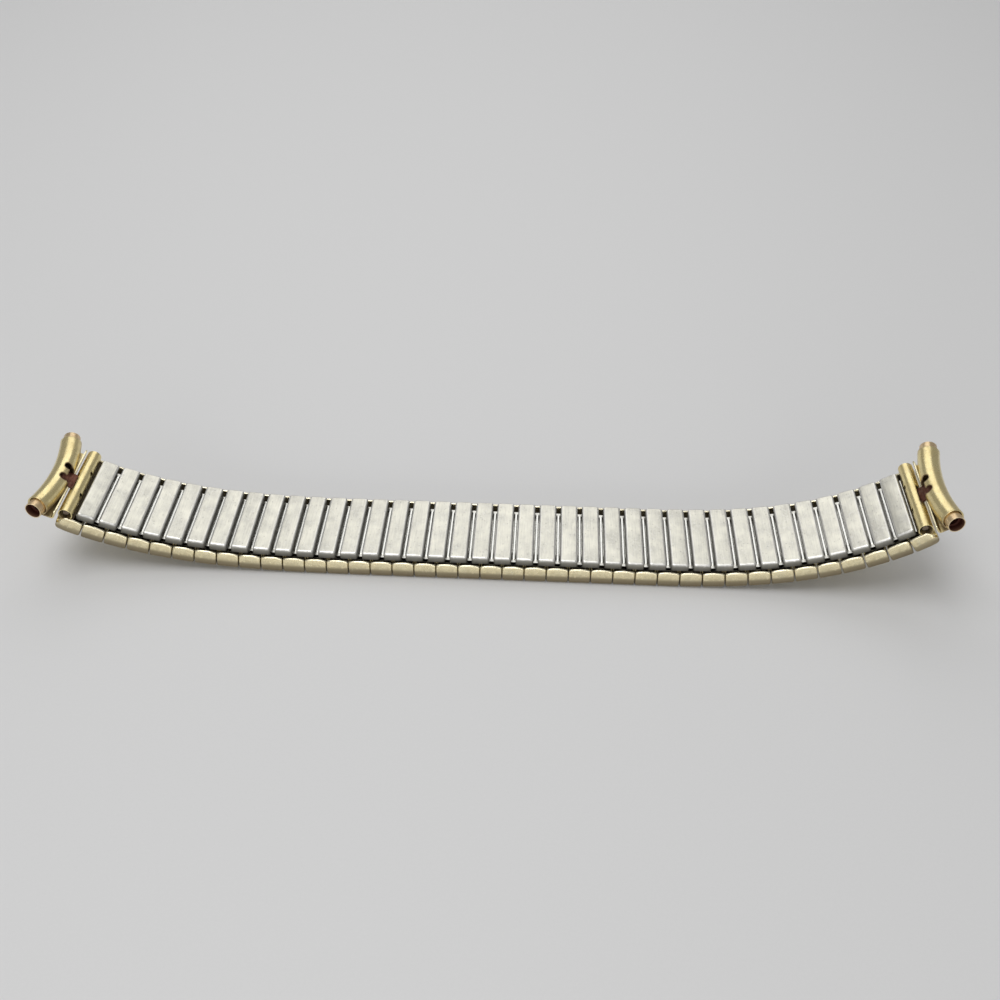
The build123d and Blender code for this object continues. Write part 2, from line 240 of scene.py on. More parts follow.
# Gold shells: the decorative side is underneath, so its face is a plain shallow crown. The ends have thick
# rolled rims, higher in the middle of each shell, over a leaning upper half
goldShell = {
    "halfLength": 1.69, "halfWidth": 7.74, "low": -2.49, "corner": 0.16, "wall": 0.2,
    "faceIn": (0.8, 1.2), "faceCorner": 0.3, "lowRound": 0.5, "endRound": 0.5, "roundSteps": 5,
    "bulgeAt": -1.25, "leanFrom": -0.8, "lean": 0.34, "facetStep": 0.01,
    "sideRim": -0.04, "notchRim": -0.78, "notchFrom": 5.85, "rimHigh": 0.23, "rimArch": 0.26,
    "archPower": 3.0, "rimThick": 0.36, "rimDeep": 0.2, "sideDeep": 0.08, "rimSteps": 8, "rimRub": 0.6,
    "ledge": -1.56, "hollow": (1.14, 6.7, -2.21), "hollowCorner": 0.1,
    # Painted shade on each end wall: dark over the rounded lower edge and the bulge, less on the leaning
    # facet, next to none on the rim
    "lowTarnish": (0.3, 0.6), "bulgeTarnish": 0.75, "facetTarnish": 0.35, "rimTarnish": 0.02,
    "stations": (0, 2.6, 4.8, 5.8, 5.845, 5.856, 6.6, 7.3), "endShares": (0, 0.2, 0.4, 0.6, 0.8, 0.9),
    "cornerSteps": 4,
}


def rolledRim(g, rimOf, halfX, shift=0.0):
    # Leaning facet, then half an ellipse over each end wall, and a small round on the long sides:
    # width = middle + half * cos a, height = rim - depth * (1 - sin a)
    facet = lambda x, kind: np.minimum(g["leanFrom"], rimOf(x, kind) - g["rimDeep"])
    rows = [loopRow(halfX, g["halfWidth"] - g["facetStep"], g["corner"], facet, 0, g["facetTarnish"], shift)]
    for a in np.linspace(0, np.pi, g["rimSteps"]):
        fallen, inwards = 1 - math.sin(a), (1 - math.cos(a)) / 2
        top = lambda x, kind, fallen=fallen: (
            rimOf(x, kind) - fallen * np.where(kind == 2, g["rimDeep"], g["sideDeep"]))
        halfY = g["halfWidth"] - g["lean"] - g["rimThick"] * inwards
        rub = max(0.0, math.sin(a)) * g["rimRub"]
        rows.append(loopRow(halfX - g["wall"] * inwards, halfY, g["corner"], top, rub, g["rimTarnish"],
                            shift))
    return rows


def shellForm(g):
    # Bottom, rounded lower edge, end walls that lean in above the bulge, rolled rim, channel, ledge, hollow
    h, w, low = g["halfLength"], g["halfWidth"], g["low"]
    lessDark, grown = g["lowTarnish"]

    def rim(x, kind):
        arch = g["rimHigh"] - g["rimArch"] * np.abs(x / h) ** g["archPower"]
        return np.choose(kind.astype(int), [x * 0 + g["sideRim"], x * 0 + g["notchRim"], arch])

    rows = [loopRow(0, w - h, 0, low), loopRow(h - g["faceIn"][0], w - g["faceIn"][1], g["faceCorner"], low)]
    # The lower round and the bulge carry painted shade
    for a in np.linspace(0, np.pi / 2, g["roundSteps"]):
        inwards, risen = 1 - math.sin(a), 1 - math.cos(a)
        rows.append(loopRow(h - g["lowRound"] * inwards, w - g["endRound"] * inwards, g["corner"],
                            low + g["lowRound"] * risen, 0, lessDark + grown * math.sin(a)))
    rows.append(loopRow(h, w, g["corner"], g["bulgeAt"], 0, g["bulgeTarnish"]))
    rows += rolledRim(g, rim, h)
    channelX, channelY = h - g["wall"], w - g["lean"] - g["rimThick"]
    hollowX, hollowY, floor = g["hollow"]
    # Painted shade: the channel, ledge and hollow are fully darkened
    for halfX, halfY, z in ((channelX, channelY, g["ledge"]), (hollowX, hollowY, g["ledge"]),
                            (hollowX, hollowY, floor)):
        rows.append(loopRow(halfX, halfY, g["hollowCorner"], z, 0, 1))
    rows.append(loopRow(0, hollowY - hollowX, 0, floor, 0, 1))
    return loopForm(rows, g["stations"], g["endShares"], g["cornerSteps"], g["notchFrom"])


# Back links: pressed covers, open underneath beside each end, the flat face towards the wrist
backLink = {
    "halfLength": 1.375, "halfWidth": 6.6, "low": 0.04, "high": 1.34, "wall": 0.16, "endWall": 0.2,
    "corner": 0.3, "edge": 0.3, "edgeSteps": 5, "innerCorner": 0.1, "hem": 0.04, "hemCorner": 0.12,
    "hemRound": 0.03, "sideLow": 0.6, "crown": 0.02, "crownShare": 0.3, "faceIn": (0.12, 0.14),
    # Painted shade on the walls facing the gaps between links: hem and walls strongly, the edge round less
    # towards the face
    "edgeRub": (0.2, 0.8), "edgeTarnish": 0.6, "hemRub": 0.2, "hemTarnish": (0.9, 0.85, 0.7),
    "plateHalf": 5.85, "plateOverlap": 0.06, "plateUp": 0.005,
    "stations": (0, 1.6, 3.2, 4.8, 5.9), "endShares": (0, 0.5), "cornerSteps": 4,
}


def backLinkForms(b):
    # Cover: inside, hem, outside walls, a quarter round over the edge, where inset = edge * (1 - cos a), and
    # the face
    h, w, low, high, r, e = (b[key] for key in ("halfLength", "halfWidth", "low", "high", "corner", "edge"))
    innerX, innerY, inside = h - b["wall"], w - b["endWall"], high - b["wall"]
    hem, small, face = b["hem"], b["hemRound"], high - b["crown"]
    below, beside, above = b["hemTarnish"]
    # Painted shade: the inside fully, the hem and the outer walls strongly, the lower edge round less towards
    # the face
    rows = [loopRow(0, innerY - innerX, 0, inside, 0, 1),
            loopRow(innerX, innerY, b["innerCorner"], inside, 0, 1),
            loopRow(innerX, innerY, b["innerCorner"], low + hem, 0, 1),
            loopRow(innerX + hem, innerY + hem, b["hemCorner"], low, 0, below),
            loopRow(h - small, w - small, r, low, 0, below),
            loopRow(h, w, r, low + small, b["hemRub"], beside),
            loopRow(h, w, r, low + b["sideLow"], 0, above)]
    for a in np.linspace(0, np.pi / 2, b["edgeSteps"]):
        inset, fallen = e * (1 - math.cos(a)), e * (1 - math.sin(a))
        rub = b["edgeRub"][0] + b["edgeRub"][1] * math.sin(2 * a)
        rows.append(loopRow(h - inset, w - inset, r, face - fallen, rub, b["edgeTarnish"] * math.cos(a) ** 2))
    rows += [loopRow(h - e - b["faceIn"][0], w - e - b["faceIn"][1], r, high - b["crown"] * b["crownShare"]),
             loopRow(0, w - h, 0, high)]
    cover = loopForm(rows, b["stations"], b["endShares"], b["cornerSteps"])
    plateX = innerX + b["plateOverlap"]
    plate = slab(-plateX, plateX, -b["plateHalf"], b["plateHalf"], low + b["plateUp"], low + b["wall"])
    return [cover, plate]


# Top sleeves: box tubes open at both ends, with a rib that shows between two back links
topSleeve = {
    "half": 1.47, "halfSleeve": 1.35, "halfWidth": 5.85, "low": -1.54, "high": -0.04, "wall": 0.16,
    "round": 0.14, "innerRound": 0.06, "roundSteps": 4, "mouth": 0.03, "mouthShare": 0.985,
    "stations": (0, 1.75, 3.5),
    # Painted highlight: the rib's top is lightened towards the lightest colour of the metal
    "ribHigh": 0.12, "ribEnd": 5.25, "ribSlope": 0.06, "ribEdge": 0.2, "ribFade": 0.05, "ribRub": 0.7,
    "ribColumns": (0.24, 0.175, 0.13, 0.06, 0.0), "plainColumns": (0.2, 0.1, 0.0),
}


def sleeveForm(t, x0, x1, rib=True):
    # Closed grid of rings round the tube: outer ones from one end to the other, then inner ones back. The rib
    # lifts the top where its window along the tube and its crest across it both hold
    quarter = np.linspace(0, np.pi / 2, t["roundSteps"])
    columns = np.array(t["ribColumns"] if rib else t["plainColumns"])
    columns = np.concatenate([columns, -columns[-2::-1]])

    def ring(a0, a1, z0, z1, r):
        straight = (a1 - a0) / 2 - r
        c, n = r * np.cos(quarter), r * np.sin(quarter)
        across = np.concatenate([straight + c, columns, -straight - n, -straight - c, straight + n])
        height = np.concatenate([z1 - r + n, columns * 0 + z1, z1 - r + c, z0 + r - n, z0 + r - c])
        return (a0 + a1) / 2 + across, height

    w, wall, slope = t["halfWidth"], t["wall"], t["ribSlope"]
    outerX, outerZ = ring(x0, x1, t["low"], t["high"], t["round"])
    innerX, innerZ = ring(x0 + wall, x1 - wall, t["low"] + wall, t["high"] - wall, t["innerRound"])
    half = np.array([*t["stations"], t["ribEnd"] - slope, t["ribEnd"], w - t["mouth"], w])
    ys = np.concatenate([-half[:0:-1], half])
    window = (np.abs(ys) <= t["ribEnd"] - slope / 2)[:, None]
    crest = np.clip((t["ribEdge"] - np.abs(outerX)) / t["ribFade"], 0, 1) * (outerZ > t["high"] - 1e-6) * rib
    rise = window * crest[None] * t["ribHigh"]
    squeeze = np.where(np.abs(ys) == w, t["mouthShare"], 1.0)[:, None]
    middle = (x0 + x1) / 2
    outer = np.stack([middle + (outerX - middle) * squeeze, ys[:, None] + outerX * 0, outerZ + rise], -1)
    inner = np.stack([innerX + ys[:, None] * 0, ys[::-1, None] + innerX * 0, innerZ + ys[:, None] * 0], -1)
    grid = np.concatenate([outer, inner])
    # The rib's top carries a painted highlight
    rub = np.concatenate([rise / t["ribHigh"] * t["ribRub"], rise * 0])
    return gridForm(grid, rub.reshape(-1), closeRows=True)


# Leaf springs: bowed strips inside the sleeves, top ones bowed up and back ones down
leafSpring = {
    "halfLength": 5.25, "thick": 0.1, "edge": 0.03, "edgeShare": 0.3, "stations": 13, "gap": 0.15,
    "top": {"half": 1.16, "seat": -1.36, "bow": 0.25},
    "back": {"half": 1.065, "seat": 1.16, "bow": -0.2},
}


def leafForm(x0, x1, seat, bow):
    # Height of the middle of the strip is seat + bow * (1 - share squared), with a rounded rectangle round it
    share = np.linspace(-1, 1, leafSpring["stations"])
    half, edge, low = leafSpring["halfLength"], leafSpring["edge"], leafSpring["edgeShare"]
    ringX = np.array([x0, x0 + edge, x1 - edge, x1, x1, x1 - edge, x0 + edge, x0])
    ringZ = np.array([low, 0, 0, low, 1 - low, 1, 1, 1 - low]) * math.copysign(leafSpring["thick"], bow)
    arch = seat + bow * (1 - share[:, None] ** 2)
    grid = np.stack([ringX + arch * 0, share[:, None] * half + ringX * 0, arch + ringZ], -1)
    ends = np.repeat(grid[[0, -1]].mean(1, keepdims=True), len(ringX), 1)
    return gridForm(np.concatenate([ends[:1], grid, ends[1:]]))


# Side clips: one leg in a top sleeve, one in a back link, a slanted web outside both. The legs reach from
# near to far, measured from the middle of the overlap; a clip at a slide or hinge has a leg of its own
sideClip = {
    "thick": 0.2, "webIn": 5.995, "webOut": 6.245, "leg": 4.2, "seat": 0.02, "topLow": -0.98,
    "backLow": 0.04, "backHigh": 0.83, "near": 0.6, "far": 1.12,
    "slide": (-0.15, 0.35), "hinge": (0.48, 0.93),
}


def clipForms(c, start, end, across):
    # The pair's outlines in x and z: t0 to t1 is the top leg and b0 to b1 the one in the back link
    quarter = bandLine["pitch"] / 4
    t0, t1, b0, b1 = start - quarter, end - quarter, quarter - c["far"], quarter - c["near"]
    low, high, t, backLow = c["topLow"], c["backHigh"], c["thick"], c["backLow"]
    web = [(t1, low), (t1, low + t), (b1, backLow), (b1, high),
           (b0, high), (b0, backLow), (t0, low + t), (t0, low)]
    topLeg = [(t1, low), (t1, low + t), (t0, low + t), (t0, low)]
    backLeg = [(b1, high - t), (b1, high), (b0, high), (b0, high - t)]
    tip, root = c["webIn"] - c["leg"], c["webIn"] + c["seat"]
    forms = [prism(web, c["webIn"], c["webOut"]), prism(topLeg, tip, root), prism(backLeg, tip, root)]
    if across < 0:
        forms = [{**f, "points": f["points"] * np.array([1, -1, 1]), "faces": f["faces"][:, ::-1]}
                 for f in forms]
    return forms


# End covers: a longer shell that rounds off outwards, a plate over its outer half and the hinge bar on it
endCover = {
    **goldShell, "reach": 2.2, "corner": 0.25, "outerRound": 1.0, "roundFrom": 0.6, "roundSteps": 7,
    "faceIn": (1.0, 1.2), "faceShift": -0.3, "fallFrom": 0.9, "fall": 0.95,
    # Painted shade on the end walls, as on the gold shells
    "plateDown": 0.1, "channelTo": -0.1, "channelCorner": 0.08, "lowTarnish": (0.3, 0.5), "bulgeTarnish": 0.6,
    "facetTarnish": 0.3, "stations": (0, 2.5, 5, 6.5), "endShares": (0, 0.2, 0.4, 0.6, 0.75, 0.88),
}


def endCoverForm(g):
    # As a gold shell, but with a wider round on the outer side, a rim that falls off there, and a closed top
    # outside the channel of its half sleeve
    low, w, reach = g["low"], g["halfWidth"], g["reach"]
    half, mid = (g["halfLength"] + reach) / 2, (reach - g["halfLength"]) / 2
    lessDark, grown = g["lowTarnish"]

    def rim(x, kind):
        arch = g["rimHigh"] - g["rimArch"] * np.minimum(1, np.abs(x / g["halfLength"])) ** g["archPower"]
        fallen = np.clip((x - g["fallFrom"]) / (reach - g["fallFrom"]), 0, 1) ** 2 * g["fall"]
        return np.where(kind == 2, arch - fallen, g["sideRim"])

    faceX, faceY = g["faceIn"]
    rows = [loopRow(0, w - half, 0, low, shift=mid),
            loopRow(half - faceX, w - faceY, g["faceCorner"], low, shift=mid + g["faceShift"])]
    # The lower round and the bulge carry painted shade
    for a in np.linspace(0, np.pi / 2, g["roundSteps"]):
        inwards, risen = 1 - math.sin(a), 1 - math.cos(a)
        inner, outer = g["lowRound"] * inwards, g["outerRound"] * inwards
        more = (g["outerRound"] - g["lowRound"]) * risen
        height = lambda x, kind, level=low + g["lowRound"] * risen, more=more: (
            level + np.clip(x - g["roundFrom"], 0, 1) * more)
        rows.append(loopRow(half - (inner + outer) / 2, w - g["endRound"] * inwards, g["corner"], height, 0,
                            lessDark + grown * math.sin(a), mid + (inner - outer) / 2))
    rows.append(loopRow(half, w, g["corner"], g["bulgeAt"], 0, g["bulgeTarnish"], mid))
    rows += rolledRim(g, rim, half, mid)
    wallX, channelY = g["halfLength"] - g["wall"], w - g["lean"] - g["rimThick"]
    plate = g["sideRim"] - g["plateDown"]
    channelX, shift = (wallX + g["channelTo"]) / 2, (g["channelTo"] - wallX) / 2
    # Painted shade: the closed top under the bar, the channel and the ledge are fully darkened
    rows += [loopRow(half - g["wall"], channelY, g["hollowCorner"], plate, 0, 1, mid),
             loopRow(channelX, channelY, g["channelCorner"], plate, 0, 1, shift),
             loopRow(channelX, channelY, g["channelCorner"], g["ledge"], 0, 1, shift),
             loopRow(0, channelY - channelX, 0, g["ledge"], 0, 1, shift)]
    return loopForm(rows, g["stations"], g["endShares"], g["cornerSteps"])


def facing(points, faces, reference):
    # Faces turned so that most of them look away from the reference points
    corners = points[faces]
    normal = np.cross(corners[:, 2] - corners[:, 0], corners[:, 3] - corners[:, 1])
    away = np.einsum("ij,ij->i", normal, corners.mean(1) - reference)
    return faces if away.sum() > 0 else faces[:, ::-1]


def sheetForm(points, faces, rub, tarnish):
    # Open sheet from the faces that are left, with only the points that they use
    used, order = np.unique(faces, return_inverse=True)
    return {"points": points[used], "faces": order.reshape(faces.shape),
            "rub": np.broadcast_to(rub, len(points))[used],
            "tarnish": np.broadcast_to(tarnish, len(points))[used]}


def thicken(piece, thickness, edge=0.0, edgeAngle=50):
    # Sheet metal inwards from the outer face, and small round edges where it bends by more than the angle
    solid = piece.modifiers.new("thickness", "SOLIDIFY")
    solid.thickness, solid.offset = thickness * metre, -1
    if edge:
        bevel = piece.modifiers.new("edge", "BEVEL")
        bevel.width, bevel.segments = edge * metre, 2
        bevel.limit_method, bevel.angle_limit = "ANGLE", math.radians(edgeAngle)


def rounding(ys, half, length, depth):
    # How far the mouth of a tube is drawn in: depth * share squared over the last length of its half
    return depth * np.clip((np.abs(ys) - half + length) / length, 0, 1) ** 2


def bothSides(half):
    # Stations from minus the last one to the last one
    half = np.array(half, float)
    return np.concatenate([-half[:0:-1], half])


# Hinge bars: open tubes along the end covers, slotted for the tongue, with two notches on the links' side.
# Angles are in degrees from outward, turning upwards
hingeBar = {
    "out": 1.25, "up": 0.7, "radius": 1.1, "half": 7.2, "wall": 0.2, "turnStep": 7.5,
    "stations": (3.6, 4.8, 6.0, 7.0), "slotMiddle": 0.9, "slotHalf": 1.8, "slotTurn": (-24.0, 48.0),
    # The under values darken the bar's underside: painted shade
    "notch": (2.32, 2.88), "notchTurn": (128.0, 186.0), "mouth": (0.05, 0.06), "under": (0.1, 1.2, 0.7),
}


def barForm(b):
    # Ring at angle a from outward: x = out + r cos a, z = up + r sin a
    turns = np.unique([*np.arange(-90, 270, b["turnStep"]), *b["slotTurn"], *b["notchTurn"]])
    a = np.radians(turns)
    mouthLength, mouthDepth = b["mouth"]
    ys = bothSides([0, b["slotMiddle"], b["slotHalf"], *b["notch"], *b["stations"],
                    b["half"] - mouthLength, b["half"]])
    r = (b["radius"] - rounding(ys, b["half"], mouthLength, mouthDepth))[:, None]
    grid = np.stack([b["out"] + r * np.cos(a), ys[:, None] + a * 0, b["up"] + r * np.sin(a)], -1)
    points, faces = grid.reshape(-1, 3), gridFaces(len(ys), len(a), closeColumns=True)
    middle = points[faces].mean(1)
    turn = np.degrees(np.arctan2(middle[:, 2] - b["up"], middle[:, 0] - b["out"]))
    turn, y = np.where(turn < -90, turn + 360, turn), np.abs(middle[:, 1])
    within = lambda value, low, high: (value > low) & (value < high)
    slot = within(y, -1, b["slotHalf"]) & within(turn, *b["slotTurn"])
    notch = within(y, *b["notch"]) & within(turn, *b["notchTurn"])
    faces = facing(points, faces[~(slot | notch)], np.array([b["out"], 0, b["up"]]))
    # Painted shade darkening the underside
    offset, gain, most = b["under"]
    under = np.clip((-np.sin(a) - offset) * gain, 0, 1) * most
    return sheetForm(points, faces, 0.0, np.tile(under, len(ys)))


# Curved ends: a bent tube with a lobed notch, on a sheet turned up along a straight lip
curvedEnd = {
    "out": 4.4, "up": 1.1, "bend": 30.0, "radius": 1.65, "wall": 0.2, "half": 7.7, "mouth": (0.06, 0.05),
    "lobe": 0.66, "lobeAt": (-0.6, 1.2), "notchHalf": 1.55, "notchTo": -0.95, "notchLow": 0.45,
    "fineTo": 2.4, "fineStep": 0.1, "coarseSteps": 16, "turnStep": 3.75, "snapWithin": 0.062, "snapRounds": 4,
    "lipOut": 2.64, "lipHigh": 0.95, "lipThick": 0.25, "lipRound": 0.45, "lipEdge": 0.05, "sheetLow": -0.49,
    "lipStations": (1, 2.6, 3.6, 4.6, 5.6, 6.6), "lipStep": 0.01, "lipEnd": (0.15, 0.12), "lipSteps": (6, 5),
    # Darkening beside the notch is partly patina, partly painted shade; underneath, on the flank and at the
    # mouths it is painted shade
    "notchTarnish": (0.4, 0.7), "underTarnish": (0.8, 0.7), "mouthTarnish": (0.8, 0.35),
    "flankTarnish": {"side": 1.2, "up": 0.9, "at": -0.1, "less": 0.2, "most": 0.75, "fullFrom": 4.5,
                     "least": 0.2},
    "lipRub": (0.35, 0.8), "sheetTarnish": (0.8, 0.8),
}


def notchDistance(c, p):
    # Distance to the edge of the notch in plan, below zero inside it: two circles and a strip towards the bar
    x, y = p[..., 0] - c["out"], np.abs(p[..., 1])
    lobes = np.hypot(x - c["lobeAt"][0], y - c["lobeAt"][1]) - c["lobe"]
    strip = np.maximum(y - c["notchHalf"], x - c["notchTo"])
    return np.maximum(np.minimum(lobes, strip), c["notchLow"] - p[..., 2])


def bentTube(c, turn, along, radius):
    # Point at angle turn round the tube from the bar's side, and at angle along round the bend
    arm = c["bend"] + radius * np.cos(turn)
    return np.stack([c["out"] + c["bend"] - arm * np.cos(along), arm * np.sin(along),
                     c["up"] + radius * np.sin(turn)], -1)


def snapToNotch(c, turn, along, radius):
    # Grid points near the notch moved onto its edge: step = -distance * gradient / gradient squared
    tinyTurn, tinyAlong = 1e-4, 1e-5
    for _ in range(c["snapRounds"]):
        d = notchDistance(c, bentTube(c, turn, along, radius))
        byTurn = (notchDistance(c, bentTube(c, turn + tinyTurn, along, radius)) - d) / tinyTurn / c["radius"]
        byAlong = (notchDistance(c, bentTube(c, turn, along + tinyAlong, radius)) - d) / tinyAlong / c["bend"]
        step = np.where(np.abs(d) < c["snapWithin"], d, 0) / (byTurn ** 2 + byAlong ** 2 + 1e-9)
        turn = turn - step * byTurn / c["radius"]
        along = along - step * byAlong / c["bend"]
    return turn, along


def tubeTarnishAndShade(c, grid, turn):
    # Darkening beside the notch, partly patina and partly painted shade, and painted shade underneath, on the
    # flank
    # towards the bar and at the mouths: the largest of these
    y = np.abs(grid[..., 1])
    reach, most = c["notchTarnish"]
    notch = np.clip(1 - notchDistance(c, grid) / reach, 0, 1) ** 2 * most
    gain, most = c["underTarnish"]
    under = np.clip(-np.sin(turn) * gain, 0, most)
    f = c["flankTarnish"]
    flank = np.clip(f["side"] * np.cos(turn) - f["up"] * np.abs(np.sin(turn) - f["at"]) - f["less"], 0, 1)
    flank = flank * f["most"] * np.clip(y / f["fullFrom"], f["least"], 1)
    reach, most = c["mouthTarnish"]
    mouth = np.clip((y - c["half"] + reach) / reach, 0, 1) * most
    return np.maximum.reduce([notch, under, flank, mouth])


def curvedTubeForm(c):
    # Grid of turns round the tube and stations along its bend, fine beside the notch
    mouthLength, mouthDepth = c["mouth"]
    ys = bothSides([*np.arange(0, c["fineTo"], c["fineStep"]),
                    *np.linspace(c["fineTo"], c["half"] - mouthLength, c["coarseSteps"]),
                    c["half"] - mouthLength / 3, c["half"]])
    radius = (c["radius"] - rounding(ys, c["half"], mouthLength, mouthDepth))[:, None]
    turn, along = np.meshgrid(np.radians(np.arange(0, 360, c["turnStep"])), np.arcsin(ys / c["bend"]))
    turn, along = snapToNotch(c, turn, along, radius)
    grid = bentTube(c, turn, along, radius)
    line = np.stack([c["out"] + c["bend"] - c["bend"] * np.cos(along), c["bend"] * np.sin(along),
                     along * 0 + c["up"]], -1).reshape(-1, 3)
    points, faces = grid.reshape(-1, 3), gridFaces(grid.shape[0], grid.shape[1], closeColumns=True)
    outside = notchDistance(c, points[faces].mean(1)) >= 0
    faces = facing(points, faces, line[faces].mean(1))[outside]
    return sheetForm(points, faces, 0.0, tubeTarnishAndShade(c, grid, turn).reshape(-1))


def lipForm(c):
    # Profile from the lip's top down round the bend and out under the tube, for each station across
    endLength, endDrop = c["lipEnd"]
    first, *others = c["lipStations"]
    ys = bothSides([0, first, c["notchHalf"] - c["lipStep"], c["notchHalf"] + c["lipStep"], *others,
                    c["half"] - endLength, c["half"]])
    top = np.where(np.abs(ys) < c["notchHalf"], c["notchLow"], c["lipHigh"])
    top = np.where(np.abs(ys) == c["half"], c["lipHigh"] - endDrop, top)
    r, x0, low = c["lipRound"], c["lipOut"], c["sheetLow"]
    straightSteps, bendSteps = c["lipSteps"]
    share = np.linspace(0, 1, straightSteps)
    a = np.linspace(0, np.pi / 2, bendSteps + 2)[1:-1]
    upright = top[:, None] + share * (low + r - top[:, None])
    bendX, bendZ = x0 + r - r * np.cos(a), low + r - r * np.sin(a)
    reach = c["out"] + c["bend"] - np.sqrt(c["bend"] ** 2 - ys ** 2)
    flatX = x0 + r + share * (reach[:, None] - x0 - r)
    x = np.concatenate([upright * 0 + x0, bendX + ys[:, None] * 0, flatX], 1)
    z = np.concatenate([upright, bendZ + ys[:, None] * 0, flatX * 0 + low], 1)
    points = np.stack([x, ys[:, None] + x * 0, z], -1).reshape(-1, 3)
    faces = facing(points, gridFaces(*x.shape), np.array([c["out"], 0, c["up"]]))
    depth, most = c["lipRub"]
    rub = np.clip(1 - (top[:, None] - z) / depth, 0, 1) * most
    # Painted shade on the flat of the sheet out under the tube
    gain, most = c["sheetTarnish"]
    tarnish = np.clip((x - x0) * gain, 0, 1) * most
    return sheetForm(points, faces, rub.reshape(-1), tarnish.reshape(-1))


# Liner sleeves: a thin outer mouth and a thicker collar inside
liner = {"radius": 1.32, "bore": 0.85, "mouth": 1.17, "inner": 2.8, "outer": 1.25, "lip": 0.05,
         "lipShare": 0.3, "mouthFloor": 0.4, "sides": 40}


def linerForm(q):
    # Profile turned round the sleeve's own line, which runs outwards along x. Each row is (x, radius, rub,
    # darkening), from the inner end over the outside and the mouth back through the bore; the darkening is
    # painted shade over the inner end and the bore, which sit inside the tube
    start, step, end = -q["inner"] / 2, q["inner"] / 2, q["inner"] / 2 + q["outer"]
    r, m, b, e, tip = q["radius"], q["mouth"], q["bore"], q["lip"], q["lip"] * q["lipShare"]
    x, radius, rub, tarnish = np.transpose([
        (start, b + e, 0, 0.6), (start, r - e, 0, 0.6), (start + e, r, 0, 0.5), (0, r, 0.1, 0.3),
        (end - e, r, 0.5, 0.15), (end - tip, r - tip, 0.8, 0.1), (end, (r + m) / 2, 1, 0.1),
        (end - tip, m + tip, 0.7, 0.5), (end - e, m, 0.2, 0.9), (step + q["mouthFloor"], m, 0, 1),
        (step, m, 0, 1), (step, b + e, 0, 1), (step - e, b, 0, 1), (0, b, 0, 1), (start + e, b, 0, 1)])
    a = np.linspace(0, 2 * np.pi, q["sides"], endpoint=False)
    grid = np.stack([x[:, None] + a * 0, radius[:, None] * np.cos(a), radius[:, None] * np.sin(a)], -1)
    return gridForm(grid, np.repeat(rub, len(a)), np.repeat(tarnish, len(a)), closeRows=True)


def inTube(form, c, side):
    # From the liner's own line to the end's frame: its middle stretch sits on the tube's bend
    bend = c["bend"]
    along = math.asin(c["half"] / bend) - liner["inner"] / 2 / bend
    cosine, sine = math.cos(along), math.sin(along)
    turn = np.array([(sine, side * cosine, 0), (-side * cosine, sine, 0), (0, 0, 1)])
    place = np.array([c["out"] + bend * (1 - cosine), side * bend * sine, c["up"]])
    return {**form, "points": form["points"] @ turn + place}


# Node groups for what the metals share: they give only values

def newGroup(name, inputs, outputs):
    group = bpy.data.node_groups.new(name, "ShaderNodeTree")
    for label, kind in inputs.items():
        group.interface.new_socket(label, in_out="INPUT", socket_type="NodeSocket" + kind)
    for label in outputs:
        group.interface.new_socket(label, in_out="OUTPUT", socket_type="NodeSocketFloat")
    return group, group.nodes.new("NodeGroupInput"), group.nodes.new("NodeGroupOutput")


def addNode(tree, kind, settings=None, **sockets):
    # Node with its settings and socket values; a socket value that is an output is linked
    node = tree.nodes.new("ShaderNode" + kind)
    for key, value in (settings or {}).items():
        setattr(node, key, value)
    for key, value in sockets.items():
        socket = node.inputs[int(key[1:])] if key[0] == "i" and key[1:].isdigit() else node.inputs[key]
        if isinstance(value, bpy.types.NodeSocket):
            tree.links.new(value, socket)
        else:
            socket.default_value = value
    return node


# Wear and painted shade, the same on every metal: texture scales are per metre, ranges are of the noise that
# they cut
wearAndShade = {
    "lineDetail": 3.0, "lineRough": 0.6, "scratchStretch": (420, 9000, 420), "scratchSlant": 0.9,
    "scratchRange": (0.68, 0.76), "scratchRough": 0.4, "scratchTint": 0.35,
    "cloudScale": 420.0, "cloudRough": 0.62, "cloudRange": (0.38, 0.62), "lineShare": 0.45,
    "grimeScale": 1500.0, "grimeRough": 0.7, "grimeReach": 0.5, "grimeSoft": 0.22, "grimeDull": 0.3,
    "grimeMetal": 0.35, "spotScale": 1300.0, "spotRange": (0.2, 0.06), "spotShare": 0.3,
    "scuffScale": 2600.0, "scuffRough": 0.75, "scuffTwist": 0.6, "scuffRange": (0.5, 0.68),
    "scuffPatches": (0.42, 0.6), "scuffDull": 0.15, "roughRange": (0.3, 0.7), "bumpDepth": 0.0002,
}


def mathNode(tree, operation, a, b):
    return addNode(tree, "Math", {"operation": operation}, i0=a, i1=b).outputs[0]


def rangeNode(tree, value, start, end, low=0.0, high=1.0):
    return addNode(tree, "MapRange", Value=value, i1=start, i2=end, i3=low, i4=high).outputs[0]


def mixColour(tree, share, a, b):
    return addNode(tree, "Mix", {"data_type": "RGBA"}, i0=share, i6=a, i7=b).outputs[2]


def noiseNode(tree, place, scale, detail, rough, twist=0.0):
    return addNode(tree, "TexNoise", Vector=place, Scale=scale, Detail=detail, Roughness=rough,
                   Distortion=twist).outputs["Fac"]


